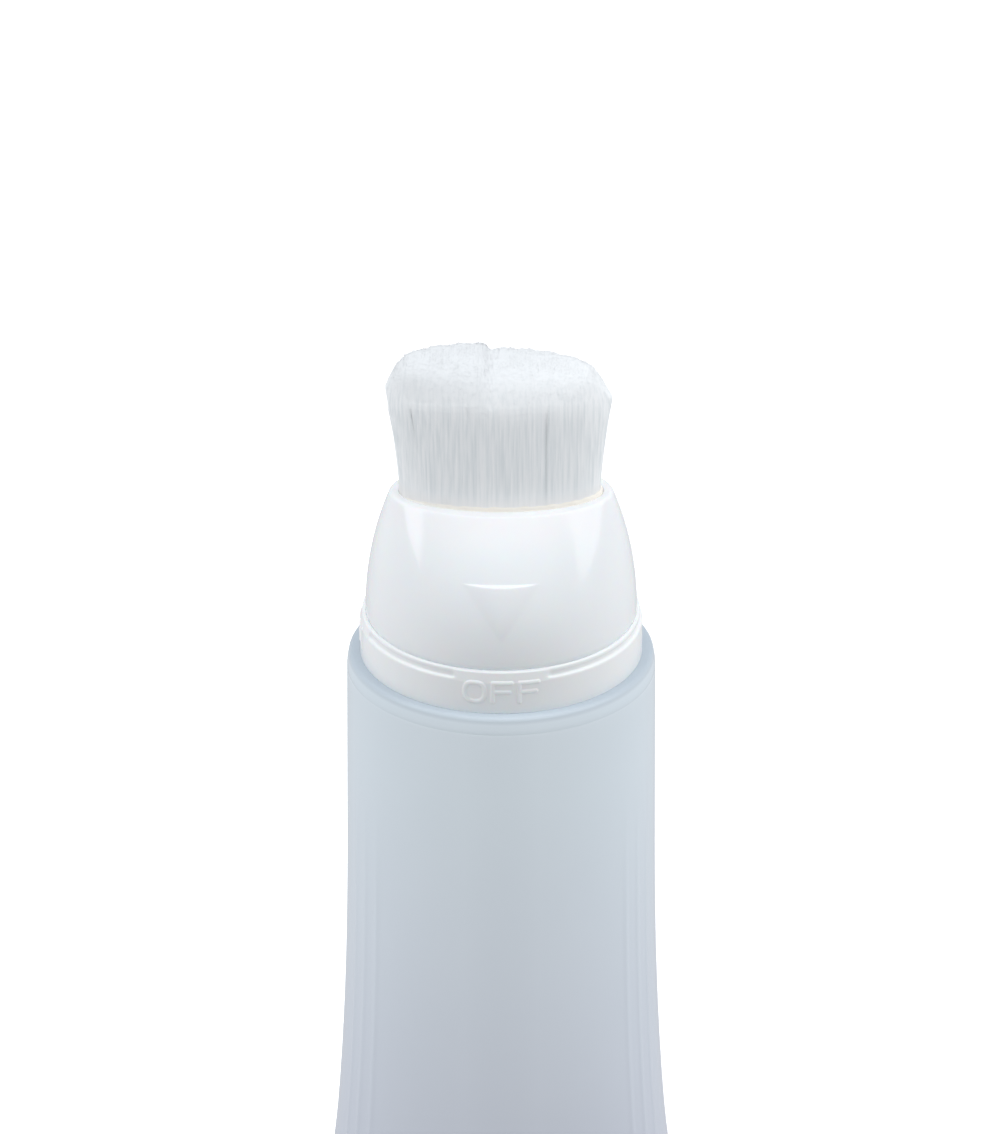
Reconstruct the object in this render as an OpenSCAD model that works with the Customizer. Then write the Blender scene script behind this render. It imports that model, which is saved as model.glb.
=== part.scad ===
// Squeeze tube with a twist-lock brush head.
// Z = 0 is the shoulder plane that the collar stands on, and Z runs up the axis to the brush.
// X runs along the brush's long side and the tail seal. The OFF mark faces -Y.

/* [Tube] */
// Outer diameter of the squeeze tube
tube_d = 50; // [48:0.5:52]
// Length of the sleeve from the shoulder weld to the end of the tail
sleeve_len = 150; // [130:1:170]
// Length of the sleeve that stays round below the weld
round_len = 52; // [40:1:60]
// Wall thickness of the sleeve
sleeve_wall = 0.6; // [0.5:0.05:0.7]
// Height of the flat welded seal across the tail
seal_h = 7; // [5:0.5:10]
// Radius of the rounded edge of the shoulder
shoulder_round = 2; // [1.5:0.1:2.4]

/* [Collar] */
// Height of the fixed collar, from the shoulder to its seam with the head
collar_h = 7.4; // [7.2:0.1:8]
// Height of the smooth band that an overcap slides onto
band_h = 5.7; // [5:0.1:5.9]
// Depth of the snap groove above the band
groove_depth = 0.7; // [0.4:0.05:0.8]
// Angle over which the groove is filled behind each mark
groove_gap = 40; // [30:1:50]

/* [Head] */
// Height of the dome from its lower edge to its rim
dome_h = 21.2; // [21:0.2:24]
// Half width of the dome's oval rim
rim_x = 18.5; // [18.3:0.1:19]
// Half depth of the dome's oval rim
rim_y = 9.9; // [9.8:0.1:11]
// Width of the raised pointer at its top edge
pointer_w = 12.6; // [10:0.2:14]
// Height of the raised pointer
pointer_h = 8; // [6:0.2:9]
// How far the pointer's top edge stands out of the dome
pointer_out = 1.6; // [0.8:0.1:1.8]
// Angle that the head turns from OFF to ON
turn = 90; // [60:5:90]

/* [Valve] */
// Radius of the two ports in the seat and the rotor
port_r = 1.6; // [1:0.1:1.8]
// Distance of the ports from the axis
port_at = 7; // [6:0.1:8]
// Bore radius of the feed nozzle
nozzle_bore = 1.5; // [1:0.1:1.8]
// Length of the feed nozzle above the rim
nozzle_out = 4; // [2:0.5:8]

/* [Brush] */
// Length of the bristles above the rim, at the middle
bristle_len = 24.8; // [18:0.2:28]
// Half width of the bristles where they leave the rim
bristle_x = 16.2; // [15.5:0.1:16.2]
// Half depth of the bristles where they leave the rim
bristle_y = 7.4; // [6.8:0.1:7.4]
// How far the bristles spread outwards at the top
bristle_spread = 2; // [0.5:0.1:3]

/* [Hidden] */

$fn = 96;
over = 1; // how far a cutting shape runs past the face it opens

// Clearances between the fixed and the turning pieces
run_gap = 0.05; // radial clearance of the journal, and axial clearance of the rotor
ring_gap = 0.02; // radial clearance of the O-ring
seam_gap = 0.3; // gap between faces that only pass each other

// Tube
tube_r = tube_d / 2;
shoulder_side = 0.9; // straight side of the shoulder, below its rounded edge
weld_z = -shoulder_round - shoulder_side;
tail_z = weld_z - sleeve_len;
seal_top = tail_z + seal_h;
flare_z = weld_z - round_len;
seal_w = PI * tube_r; // half of the round tube's perimeter, laid flat
skirt_len = 5;
skirt_wall = 1.2;
plate_t = 1.6;

// Collar and neck
collar_r = tube_r - 2;
collar_wall = 1.4;
bead_in = 0.4; // how far the bead above the groove stays inside the band
bead_h = 0.6;
journal_r = collar_r - 3.8;
neck_r = journal_r - 1.6;
neck_wall = 1.6;
neck_top = collar_h + 2;
neck_hole = 9;
snap_z = 3.6;
snap_h = 1.4;
snap_out = 0.4;
gasket_t = 0.8;
flange_z = neck_top + gasket_t;
flange_t = 1.4;
flange_top = flange_z + flange_t;
boss_r = journal_r - 4.8;
boss_bore = boss_r - 2.2;
boss_top = flange_top + 3.4;
o_ring_r = 0.7; // radius of the O-ring's cord
o_ring_in = 1.1; // depth of its groove in the boss
o_ring_z = flange_top + 1.6;

// Carrier and dome
lip_z = collar_h + seam_gap; // lower edge of everything that turns
carrier_r = journal_r + 1;
catch_z = flange_top - 1.2; // underside of the journal's retaining bead
catch_out = 0.3;
web_t = 1.4;
web_z = flange_top + seam_gap;
deck_z = boss_top + 1.4;
deck_t = 1.4;
cup_z = deck_z + deck_t;
rim_z = lip_z + dome_h;
cup_top = rim_z - 1;
cup_wall = 0.9;
cup_floor = 1.2;
shell_wall = 1.4;
mouth_x = rim_x - 2; // half width of the dome's mouth
mouth_y = rim_y - 2.2;
lip_round = 0.8;
socket_z = cup_top - 4;
nozzle_r = nozzle_bore + 0.9;
peg_r = 1.2;
peg_deep = 1.6;
stop_w = 10; // angle covered by the stop lug
stop_play = 1;
stop_deep = 0.9;
stop_half = 0.5; // half width of the stop slot
glue_top = rim_z - 0.7;
part_gap = 0.3; // glue between the two halves of the brush
pointer_top = rim_z - 8.5;
oval_sides = 72;

// Half depth and half width of the tube at fraction t of its flattening length, as shares of the
// round radius. The perimeter stays that of the round tube.
function flat_depth(t) = 1 - pow(t, 2.2);
function flat_width(t) = 1 + (PI / 2 - 1) * (1 - pow(flat_depth(t), 1.7));

// Half width and half depth of the dome at fraction s of its height
function dome_x(s) = collar_r - 1 - (collar_r - 1 - rim_x) * pow(s, 2);
function dome_y(s) = collar_r - 1 - (collar_r - 1 - rim_y) * pow(s, 2);

// Corners of an ellipse, level at height z
function ring(a, b, z) = [
    for (i = [0 : oval_sides - 1])
        let (angle = 360 * i / oval_sides)
            [a * cos(angle), b * sin(angle), z]
];

// A closed surface through a chain of rings, with a flat cap on the first and the last ring
module skin(rings) {
    n = len(rings[0]);
    last = (len(rings) - 1) * n;
    sides = [
        for (k = [0 : n : last - n], i = [0 : n - 1])
            each [[k + i, k + n + i, k + n + (i + 1) % n], [k + i, k + n + (i + 1) % n, k + (i + 1) % n]]
    ];
    first_cap = [for (i = [0 : n - 1]) i];
    last_cap = [for (i = [n - 1 : -1 : 0]) last + i];
    polyhedron([for (r = rings) each r], concat(sides, [first_cap, last_cap]));
}

module oval_prism(a, b, z0, z1) {
    translate([0, 0, z0])
        linear_extrude(z1 - z0)
            polygon([for (p = ring(a, b, 0)) [p.x, p.y]]);
}

module disc(r, z0, z1) {
    translate([0, 0, z0])
        cylinder(r = r, h = z1 - z0);
}

module pipe(r, bore, z0, z1) {
    difference() {
        disc(r, z0, z1);
        disc(bore, z0 - over, z1 + over);
    }
}

// A ring of rectangular section over an angle, centred on direction at
module arc_block(r0, r1, z0, z1, at, angle) {
    rotate(at - angle / 2)
        rotate_extrude(angle = angle)
            translate([r0, z0])
                square([r1 - r0, z1 - z0]);
}

// Two holes or pegs on opposite sides of the axis
module pair(r, z0, z1, at) {
    for (a = [at, at + 180])
        rotate(a)
            translate([port_at, 0, 0])
                disc(r, z0, z1);
}

// The sleeve: a round tube that flattens into a welded tail
module tube_sleeve() {
    ease = 0.02; // keeps the flattening part's faces inside the round part's wall
    flat_len = flare_z - seal_top;
    cavity_end = 0.985;
    steps = 16;
    function outer(t) = ring(
        (tube_r - ease) * flat_width(t),
        sleeve_wall + (tube_r - ease - sleeve_wall) * flat_depth(t),
        flare_z - t * flat_len
    );
    function inner(t) = ring(
        (tube_r + ease - sleeve_wall) * flat_width(t),
        (tube_r + ease - sleeve_wall) * flat_depth(t),
        flare_z - t * flat_len
    );
    color([0.78, 0.82, 0.86, 0.8]) {
        pipe(tube_r, tube_r - sleeve_wall, flare_z, weld_z);
        skin(concat(
            [ring((tube_r - ease) * PI / 2, sleeve_wall / 2, seal_top - over)],
            [for (k = [0 : steps]) outer(1 - k / steps)],
            [ring(tube_r - ease, tube_r - ease, flare_z + over)],
            [ring(tube_r + ease - sleeve_wall, tube_r + ease - sleeve_wall, flare_z + over)],
            [for (k = [0 : steps]) inner(cavity_end * k / steps)]
        ));
        translate([-seal_w / 2, -sleeve_wall, tail_z])
            cube([seal_w, 2 * sleeve_wall, seal_h]);
    }
}

// The shoulder with its rounded edge, weld skirt and neck
module shoulder_neck() {
    edge_r = tube_r - shoulder_round;
    skirt_r = tube_r - sleeve_wall;
    skirt_z = weld_z - skirt_len;
    color([0.8, 0.84, 0.88, 0.85]) {
        rotate_extrude()
            polygon(concat(
                [[neck_r, 0]],
                [for (a = [90 : -7.5 : 0])
                    [edge_r + shoulder_round * cos(a), -shoulder_round + shoulder_round * sin(a)]],
                [
                    [tube_r, weld_z],
                    [skirt_r, weld_z],
                    [skirt_r, skirt_z],
                    [skirt_r - skirt_wall, skirt_z],
                    [skirt_r - skirt_wall, -plate_t - 1],
                    [skirt_r - skirt_wall - 1, -plate_t],
                    [neck_r - neck_wall, -plate_t],
                    [neck_r - neck_wall, neck_top - neck_wall],
                    [neck_hole, neck_top - neck_wall],
                    [neck_hole, neck_top],
                    [neck_r, neck_top],
                    [neck_r, snap_z + snap_h],
                    [neck_r + snap_out, snap_z + snap_h / 2],
                    [neck_r + snap_out, snap_z],
                    [neck_r, snap_z],
                ]
            ));
    }
}

// The flat washer between the neck and the valve seat
module neck_gasket() {
    color([0.55, 0.6, 0.65])
        pipe(neck_r - 0.4, neck_hole + 0.5, neck_top, flange_z);
}

// The fixed collar: outer band, journal for the head, and the boss that holds the valve seat
module collar_ring() {
    edge = 0.25;
    inner_r = neck_r + 0.1;
    web_low = collar_h - collar_wall;
    groove_r = collar_r - groove_depth;
    groove_top = collar_h - bead_h;
    bead_r = collar_r - bead_in;
    color([0.93, 0.93, 0.93]) {
        difference() {
            rotate_extrude()
                polygon([
                    [collar_r - collar_wall, 0],
                    [collar_r, 0],
                    [collar_r, band_h - edge],
                    [collar_r - edge, band_h],
                    [groove_r, band_h + edge],
                    [groove_r, groove_top - edge],
                    [bead_r, groove_top],
                    [bead_r, collar_h - edge],
                    [bead_r - edge, collar_h],
                    [journal_r, collar_h],
                    [journal_r, catch_z],
                    [journal_r + catch_out, catch_z],
                    [journal_r + catch_out, catch_z + 0.4],
                    [journal_r, catch_z + 0.8],
                    [journal_r, flange_top],
                    [boss_r, flange_top],
                    [boss_r, o_ring_z - o_ring_r],
                    [boss_r - o_ring_in, o_ring_z - o_ring_r],
                    [boss_r - o_ring_in, o_ring_z + o_ring_r],
                    [boss_r, o_ring_z + o_ring_r],
                    [boss_r, boss_top],
                    [boss_bore, boss_top],
                    [boss_bore, flange_z],
                    [inner_r, flange_z],
                    [inner_r, snap_z + snap_h],
                    [inner_r + snap_out, snap_z + snap_h],
                    [inner_r + snap_out, snap_z - 0.2],
                    [inner_r, snap_z - 0.2],
                    [inner_r, 0],
                    [journal_r, 0],
                    [journal_r, web_low],
                    [collar_r - collar_wall, web_low],
                ]);
            arc_block(
                carrier_r - stop_half, carrier_r + stop_half, collar_h - stop_deep, collar_h + over,
                90 - turn / 2, turn + stop_w + stop_play
            );
        }
        for (mark = [-90, -90 - turn])
            rotate(mark - groove_gap / 2)
                rotate_extrude(angle = groove_gap)
                    polygon([
                        [groove_r - edge, band_h - edge],
                        [collar_r, band_h - edge],
                        [bead_r, collar_h - edge],
                        [groove_r - edge, collar_h - edge],
                    ]);
        for (i = [0 : 7])
            rotate(i * 45 + 22.5)
                translate([journal_r - 0.2, -0.5, 0])
                    cube([collar_r - collar_wall - journal_r + 0.4, 1, web_low + 0.2]);
    }
}

// The fixed valve disc, pressed into the boss, with its two ports
module valve_seat() {
    color([0.85, 0.87, 0.9])
        difference() {
            disc(boss_bore, flange_z, flange_top);
            pair(port_r, flange_z - over, flange_top + over, 0);
        }
}

// The soft disc that seals the rotor against the seat
module face_gasket() {
    color([0.6, 0.65, 0.7])
        difference() {
            disc(boss_bore - 0.2, flange_top, flange_top + gasket_t);
            pair(port_r + 0.2, flange_top - over, flange_top + gasket_t + over, 0);
        }
}

// The turning valve disc. Its ports meet those of the seat when the head is at ON.
module valve_rotor() {
    rotor_z = flange_top + gasket_t + run_gap;
    color([0.75, 0.8, 0.88])
        difference() {
            disc(boss_bore - 0.2, rotor_z, boss_top);
            pair(port_r, rotor_z - over, boss_top + over, turn);
            pair(peg_r, boss_top - peg_deep, boss_top + over, turn + 90);
        }
}

// The O-ring in the boss groove, which the carrier's bore slides round
module rotor_o_ring() {
    color([0.2, 0.2, 0.22])
        rotate_extrude()
            translate([boss_r - o_ring_in + o_ring_r, o_ring_z])
                circle(r = o_ring_r - ring_gap / 2, $fn = 32);
}

// The inner moulding of the head: it turns on the journal and holds the rotor, cup and nozzle
module head_carrier() {
    ring_bore = boss_r - o_ring_in + 2 * o_ring_r + ring_gap;
    lip_top = catch_z - seam_gap;
    bore = journal_r + run_gap;
    catch_bore = journal_r + catch_out + 0.15;
    color([0.88, 0.9, 0.92]) {
        difference() {
            rotate_extrude()
                polygon([
                    [bore, lip_z],
                    [carrier_r, lip_z],
                    [carrier_r, web_z + web_t],
                    [ring_bore + 1.4, web_z + web_t],
                    [ring_bore + 1.4, cup_z],
                    [0, cup_z],
                    [0, deck_z],
                    [ring_bore, deck_z],
                    [ring_bore, web_z],
                    [catch_bore, web_z],
                    [catch_bore, lip_top],
                    [bore, lip_top],
                ]);
            disc(nozzle_r, deck_z - over, cup_z + over);
        }
        pair(peg_r + 0.8, boss_top, deck_z + 0.1, turn + 90);
        pair(peg_r, boss_top - peg_deep, boss_top + 0.1, turn + 90);
        arc_block(
            carrier_r - stop_half + 0.1, carrier_r, collar_h - stop_deep + seam_gap, lip_z + 0.1,
            90, stop_w
        );
    }
}

// The dome: round at the collar, oval at the rim, with the raised pointer
module head_shell() {
    steps = 16;
    cavity_steps = 6;
    cavity_z = web_z + web_t;
    function outer(s) = ring(dome_x(s), dome_y(s), lip_z + s * dome_h);
    function cavity(z) = ring(
        dome_x((z - lip_z) / dome_h) - shell_wall,
        dome_y((z - lip_z) / dome_h) - shell_wall,
        z
    );
    lip_s = 1 - lip_round / dome_h;
    color([0.97, 0.97, 0.97]) {
        difference() {
            skin(concat(
                [for (k = [0 : steps]) outer(lip_s * k / steps)],
                [for (a = [30 : 30 : 90])
                    ring(
                        dome_x(lip_s) - lip_round * (1 - cos(a)),
                        dome_y(lip_s) - lip_round * (1 - cos(a)),
                        rim_z - lip_round * (1 - sin(a))
                    )]
            ));
            disc(carrier_r, lip_z - over, cavity_z + 0.1);
            skin([for (k = [0 : cavity_steps])
                cavity(cavity_z + (socket_z - cavity_z) * k / cavity_steps)]);
            oval_prism(mouth_x + cup_wall, mouth_y + cup_wall, socket_z - 0.1, cup_top);
            oval_prism(mouth_x, mouth_y, cup_top - over, rim_z + over);
        }
        pointer();
    }
}

// The raised triangle that points at the collar's marks
module pointer() {
    sides = 8;
    sink = 0.6; // how far its back reaches into the dome's wall
    top_s = (pointer_top - lip_z) / dome_h;
    tip_s = (pointer_top - pointer_h - lip_z) / dome_h;
    function on_dome(x) = -dome_y(top_s) * sqrt(1 - pow(x / dome_x(top_s), 2));
    front = [
        for (i = [0 : sides])
            let (u = 2 * i / sides - 1, x = u * pointer_w / 2)
                [x, on_dome(x) - pointer_out * (1 - u * u), pointer_top]
    ];
    back = [
        for (i = [0 : sides])
            let (x = (i / sides - 0.5) * pointer_w)
                [x, on_dome(x) + sink, pointer_top]
    ];
    tip_z = pointer_top - pointer_h;
    tip = [[0, -dome_y(tip_s), tip_z], [0, sink - dome_y(tip_s), tip_z]];
    n = sides + 1;
    polyhedron(
        concat(front, back, tip),
        concat(
            [for (i = [0 : sides - 1]) [i, i + 1, 2 * n]],
            [for (i = [0 : sides - 1]) [n + i + 1, n + i, 2 * n + 1]],
            [for (i = [0 : sides - 1]) [i, n + i, n + i + 1]],
            [for (i = [0 : sides - 1]) [i, n + i + 1, i + 1]],
            [[0, 2 * n, 2 * n + 1], [0, 2 * n + 1, n]],
            [[sides, n + sides, 2 * n + 1], [sides, 2 * n + 1, 2 * n]]
        )
    );
}

// The oval cup that the bristle roots are glued into
module brush_cup() {
    color([0.9, 0.9, 0.88])
        difference() {
            oval_prism(mouth_x + cup_wall, mouth_y + cup_wall, cup_z, cup_top);
            oval_prism(mouth_x, mouth_y, cup_z + cup_floor, cup_top + over);
            disc(nozzle_r, cup_z - over, cup_z + cup_floor + over);
        }
}

// The outlet tube, from the chamber above the rotor up into the bristles
module feed_nozzle() {
    color([0.9, 0.9, 0.9])
        pipe(nozzle_r, nozzle_bore, deck_z, rim_z + nozzle_out);
}

// The glue round the bristle roots, between the two halves and round the nozzle
module glue_bed() {
    color([0.93, 0.88, 0.74])
        difference() {
            oval_prism(mouth_x, mouth_y, cup_z + cup_floor, glue_top);
            for (side = [-1, 1])
                bristle_roots(side, glue_top + over);
            disc(nozzle_r, cup_z, glue_top + over);
        }
}

// Half of the bristles' footprint, with room for the nozzle
module bristle_roots(side, top) {
    root_z = cup_z + cup_floor + 0.4;
    difference() {
        intersection() {
            oval_prism(bristle_x, bristle_y, root_z, top);
            half_space(side, root_z, top);
        }
        disc(nozzle_r + part_gap, root_z - over, top + over);
    }
}

// Everything on one side of the brush's middle plane
module half_space(side, z0, z1) {
    reach = 2 * tube_r;
    translate([side > 0 ? part_gap / 2 : -part_gap / 2 - reach, -tube_r, z0])
        cube([reach, 2 * tube_r, z1 - z0]);
}

// One half of the brush: roots in the glue, then a spreading tuft with a domed top
module bristle_half(side) {
    crown_h = 6;
    crown_z = rim_z + bristle_len - crown_h;
    tuft_steps = 6;
    crown_steps = 8;
    top_share = 0.12;
    function spread(u) = bristle_spread * pow(u, 1.3);
    color([0.97, 0.97, 0.96]) {
        bristle_roots(side, glue_top);
        difference() {
            intersection() {
                skin(concat(
                    [for (k = [0 : tuft_steps])
                        let (u = k / tuft_steps)
                            ring(bristle_x + spread(u), bristle_y + 0.6 * spread(u),
                                glue_top + u * (crown_z - glue_top))],
                    [for (k = [1 : crown_steps])
                        let (w = 1 - (1 - top_share) * pow(k / crown_steps, 1.5))
                            ring((bristle_x + spread(1)) * w, (bristle_y + 0.6 * spread(1)) * w,
                                crown_z + crown_h * sqrt(1 - pow(w, 3)))]
                ));
                half_space(side, glue_top, rim_z + bristle_len + over);
            }
            disc(nozzle_r + part_gap, glue_top - over, rim_z + nozzle_out + part_gap);
        }
    }
}

module bristles_left() {
    bristle_half(-1);
}

module bristles_right() {
    bristle_half(1);
}

tube_sleeve();
shoulder_neck();
neck_gasket();
collar_ring();
valve_seat();
face_gasket();
valve_rotor();
rotor_o_ring();
head_carrier();
head_shell();
brush_cup();
feed_nozzle();
glue_bed();
bristles_left();
bristles_right();
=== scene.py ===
"""Squeeze tube with a twist-lock brush head: the looks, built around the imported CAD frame.

Shapes are worked out in millimetres and turned into metres as each mesh is made. Z = 0 is the
shoulder plane, Z runs up to the brush, X along the brush, and the OFF mark faces -Y.
"""
import math

import bpy
import bmesh
import numpy as np
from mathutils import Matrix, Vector


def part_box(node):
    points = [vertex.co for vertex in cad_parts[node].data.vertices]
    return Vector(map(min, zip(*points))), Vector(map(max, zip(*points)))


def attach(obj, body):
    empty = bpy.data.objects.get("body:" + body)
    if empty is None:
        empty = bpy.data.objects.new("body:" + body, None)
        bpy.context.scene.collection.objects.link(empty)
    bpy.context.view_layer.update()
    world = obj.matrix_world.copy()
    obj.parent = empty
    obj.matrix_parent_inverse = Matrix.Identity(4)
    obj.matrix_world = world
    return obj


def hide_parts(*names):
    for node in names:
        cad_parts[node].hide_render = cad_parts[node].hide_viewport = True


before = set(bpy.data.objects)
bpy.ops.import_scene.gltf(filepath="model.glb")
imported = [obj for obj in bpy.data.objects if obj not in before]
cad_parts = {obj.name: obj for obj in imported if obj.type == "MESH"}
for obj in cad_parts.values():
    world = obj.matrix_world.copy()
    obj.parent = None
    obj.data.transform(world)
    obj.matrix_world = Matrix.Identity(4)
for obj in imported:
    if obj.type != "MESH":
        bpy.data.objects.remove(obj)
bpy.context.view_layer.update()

MM = 0.001
TAU = 2 * math.pi
rng = np.random.default_rng(7)


def cad(node):
    """Lowest and highest corner of a CAD node, in mm."""
    low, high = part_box(node)
    return low / MM, high / MM


# ---------------------------------------------------------------- dimensions, in mm
tube_low, tube_high = cad("tube_sleeve")
tube_r = tube_high.y
weld_z = tube_high.z
tail_z = tube_low.z
wall = 0.6
round_len = 27  # the sleeve stays round this far below the weld
seal_h = 7  # height of the flat seal at the tail
weld_depth = 0.035  # of the fine groove along the weld
weld_half = 0.4  # half the height of that groove
weld_near = 0.15  # where it is partly deep, from the weld line

collar_high = cad("collar_ring")[1]
collar_r = collar_high.x - 0.15  # the collar looks a little slimmer than the CAD's
collar_h = 7.4
band_h = 5.7  # top of the smooth band, where the groove begins
groove_depth = 0.5
bead_in = 0.38  # the bead above the groove stands this far inside the band
bead_h = 0.6
gap_half = 20  # degrees of filled groove on each side of a mark

head_low, head_high = cad("head_shell")
lip_z = head_low.z
rim_z = head_high.z
dome_r = head_high.x
rim_x = 18.0  # half size of the oval rim
rim_y = 9.9
lip_round = 0.8
shell = 1.4  # thickness of the dome's wall

pointer_w = 12.6
pointer_h = 8
pointer_out = 0.48  # how far it stands out at its top edge
pointer_top = rim_z - 8.5

glue_low, glue_high = cad("glue_bed")
mouth_x = glue_high.x
mouth_y = glue_high.y
glue_z = glue_high.z
brush_top = cad("bristles_right")[1].z


# ---------------------------------------------------------------- camera
ELEVATION = math.radians(27.5)
VIEW_DISTANCE = 4.5
VIEW_HEIGHT = 0.1835  # height of the picture at the object
AIM = Vector((-0.0002, 0, 0.0148))


def make_camera():
    """The photograph's view: from the front, far away and from above."""
    data = bpy.data.cameras.new("camera")
    data.sensor_width = 36
    data.lens = data.sensor_width * VIEW_DISTANCE / VIEW_HEIGHT
    data.clip_start = 0.01
    data.clip_end = 50
    camera = bpy.data.objects.new("camera", data)
    bpy.context.collection.objects.link(camera)
    back = Vector((0, -math.cos(ELEVATION), math.sin(ELEVATION)))
    camera.location = AIM + back * VIEW_DISTANCE
    camera.rotation_euler = (math.pi / 2 - ELEVATION, 0, 0)
    bpy.context.scene.camera = camera


# ---------------------------------------------------------------- mesh helpers
def make_mesh(name, points, faces, sharp=32):
    """A smooth-shaded mesh object from points in mm, with edges over that many degrees kept sharp."""
    mesh = bpy.data.meshes.new(name)
    mesh.from_pydata((np.asarray(points, float) * MM).tolist(), [], faces)
    mesh.polygons.foreach_set("use_smooth", [True] * len(mesh.polygons))
    if sharp:
        shape = bmesh.new()
        shape.from_mesh(mesh)
        limit = math.radians(sharp)
        for edge in shape.edges:
            edge.smooth = edge.calc_face_angle(0) < limit
        shape.to_mesh(mesh)
        shape.free()
    mesh.update()
    made = bpy.data.objects.new(name, mesh)
    bpy.context.collection.objects.link(made)
    return made


def finish_piece(made, body, slot, material, *nodes):
    """Gives a visible piece its material and its body, and hides the CAD nodes that it replaces. The
    slot is not used.
    """
    made.data.materials.append(material)
    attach(made, body)
    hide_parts(*nodes)


def loft_faces(rings, around, loop=False):
    """Quads between rings of equal count, and flat caps on the two ends unless the rings loop."""
    i = np.arange(around)
    j = (i + 1) % around
    faces = []
    for k in range(rings if loop else rings - 1):
        a = k * around
        b = (k + 1) % rings * around
        faces.extend(np.stack([a + i, a + j, b + j, b + i], 1).tolist())
    if not loop:
        faces.append(list(range(around - 1, -1, -1)))
        faces.append([(rings - 1) * around + k for k in range(around)])
    return faces


def loft(name, rings, loop=False, sharp=32):
    """A mesh through rings of equal count, in mm."""
    rings = np.asarray(rings, float)
    count, around = rings.shape[:2]
    return make_mesh(name, rings.reshape(-1, 3), loft_faces(count, around, loop), sharp)


def ease(low, high, x):
    """0 below low, 1 above high, and a smooth step between them."""
    t = np.clip((np.asarray(x, float) - low) / (high - low), 0, 1)
    return t * t * (3 - 2 * t)


def soften(line):
    """Cuts the corners of an open line twice, so that its edges come out rounded."""
    line = np.asarray(line, float)
    for _ in range(2):
        near = line[:-1] * 0.75 + line[1:] * 0.25
        far = line[:-1] * 0.25 + line[1:] * 0.75
        middle = np.stack([near, far], 1).reshape(-1, line.shape[1])
        line = np.concatenate([line[:1], middle, line[-1:]])
    return line


def arc(r, z, radius, start, end, steps):
    """Points of an arc in a profile, centred on (r, z), between two angles in degrees."""
    angles = np.radians(np.linspace(start, end, steps + 1))
    return [(r + radius * math.cos(a), z + radius * math.sin(a)) for a in angles]


def revolve(name, profile):
    """A closed profile of (radius, height) points turned round the axis. It runs up the outside."""
    around = 256
    angles = np.arange(around) * TAU / around
    rings = []
    for r, z in profile:
        rings.append(np.stack([r * np.cos(angles), r * np.sin(angles), np.full(around, z)], 1))
    return loft(name, rings, loop=True)


def columns(marks, reach, fine, coarse):
    """Angles round the axis in degrees: fine steps within reach of each mark, coarse ones elsewhere."""
    angles = []
    a = -180.0
    while a < 180 - 1e-6:
        angles.append(a)
        near = min(abs((a - m + 180) % 360 - 180) for m in marks) < reach
        a += fine if near else coarse
    return np.radians(angles)


# ---------------------------------------------------------------- materials
def new_material(name):
    """A material and its node tree, which starts with a Principled BSDF."""
    made = bpy.data.materials.new(name)
    made.use_nodes = True
    return made, made.node_tree


def add(tree, kind, **values):
    """A shader node of that kind. Each value goes to the socket of that name, or to the setting."""
    node = tree.nodes.new("ShaderNode" + kind)
    for key, value in values.items():
        socket = key.replace("_", " ")
        if socket in node.inputs:
            node.inputs[socket].default_value = value
        else:
            setattr(node, key, value)
    return node


def calc(tree, operation, *values, clamp=False):
    """A math node. Each value is a number or another node's output."""
    node = add(tree, "Math", operation=operation, use_clamp=clamp)
    for socket, value in zip(node.inputs, values):
        if isinstance(value, bpy.types.NodeSocket):
            tree.links.new(value, socket)
        else:
            socket.default_value = value
    return node.outputs[0]


def noise(tree, scale, detail=3, stretch=(1, 1, 1)):
    """Noise in the object's own coordinates, at that scale per metre."""
    place = add(tree, "TexCoord")
    mapping = add(tree, "Mapping")
    mapping.inputs["Scale"].default_value = stretch
    texture = add(tree, "TexNoise", Scale=scale, Detail=detail)
    tree.links.new(place.outputs["Object"], mapping.inputs["Vector"])
    tree.links.new(mapping.outputs["Vector"], texture.inputs["Vector"])
    return texture.outputs["Fac"]


def ramp(tree, value, stops):
    """A colour ramp: stops are (position, colour) pairs."""
    node = add(tree, "ValToRGB")
    elements = node.color_ramp.elements
    while len(elements) < len(stops):
        elements.new(0.5)
    for element, (position, colour) in zip(elements, stops):
        element.position = position
        element.color = (*colour, 1)
    tree.links.new(value, node.inputs["Fac"])
    return node.outputs["Color"]


def spread(tree, value, low, high):
    """Maps the middle of a noise onto low to high."""
    node = add(tree, "MapRange")
    node.inputs["From Min"].default_value = 0.3
    node.inputs["From Max"].default_value = 0.7
    node.inputs["To Min"].default_value = low
    node.inputs["To Max"].default_value = high
    node.clamp = False
    tree.links.new(value, node.inputs["Value"])
    return node.outputs["Result"]


def bump(tree, height, distance):
    """A surface grain of that depth in metres."""
    node = add(tree, "Bump", Distance=distance)
    tree.links.new(height, node.inputs["Height"])
    return node.outputs["Normal"]


def between(tree, low, high, axis="Z"):
    """0 at low and 1 at high, in mm: of the height, or of the distance sideways from the middle."""
    place = add(tree, "TexCoord")
    split = add(tree, "SeparateXYZ")
    node = add(tree, "MapRange")
    node.inputs["From Min"].default_value = low * MM
    node.inputs["From Max"].default_value = high * MM
    tree.links.new(place.outputs["Object"], split.inputs["Vector"])
    along = split.outputs["Z"] if axis == "Z" else calc(tree, "ABSOLUTE", split.outputs[axis])
    tree.links.new(along, node.inputs["Value"])
    return node.outputs["Result"]


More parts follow.
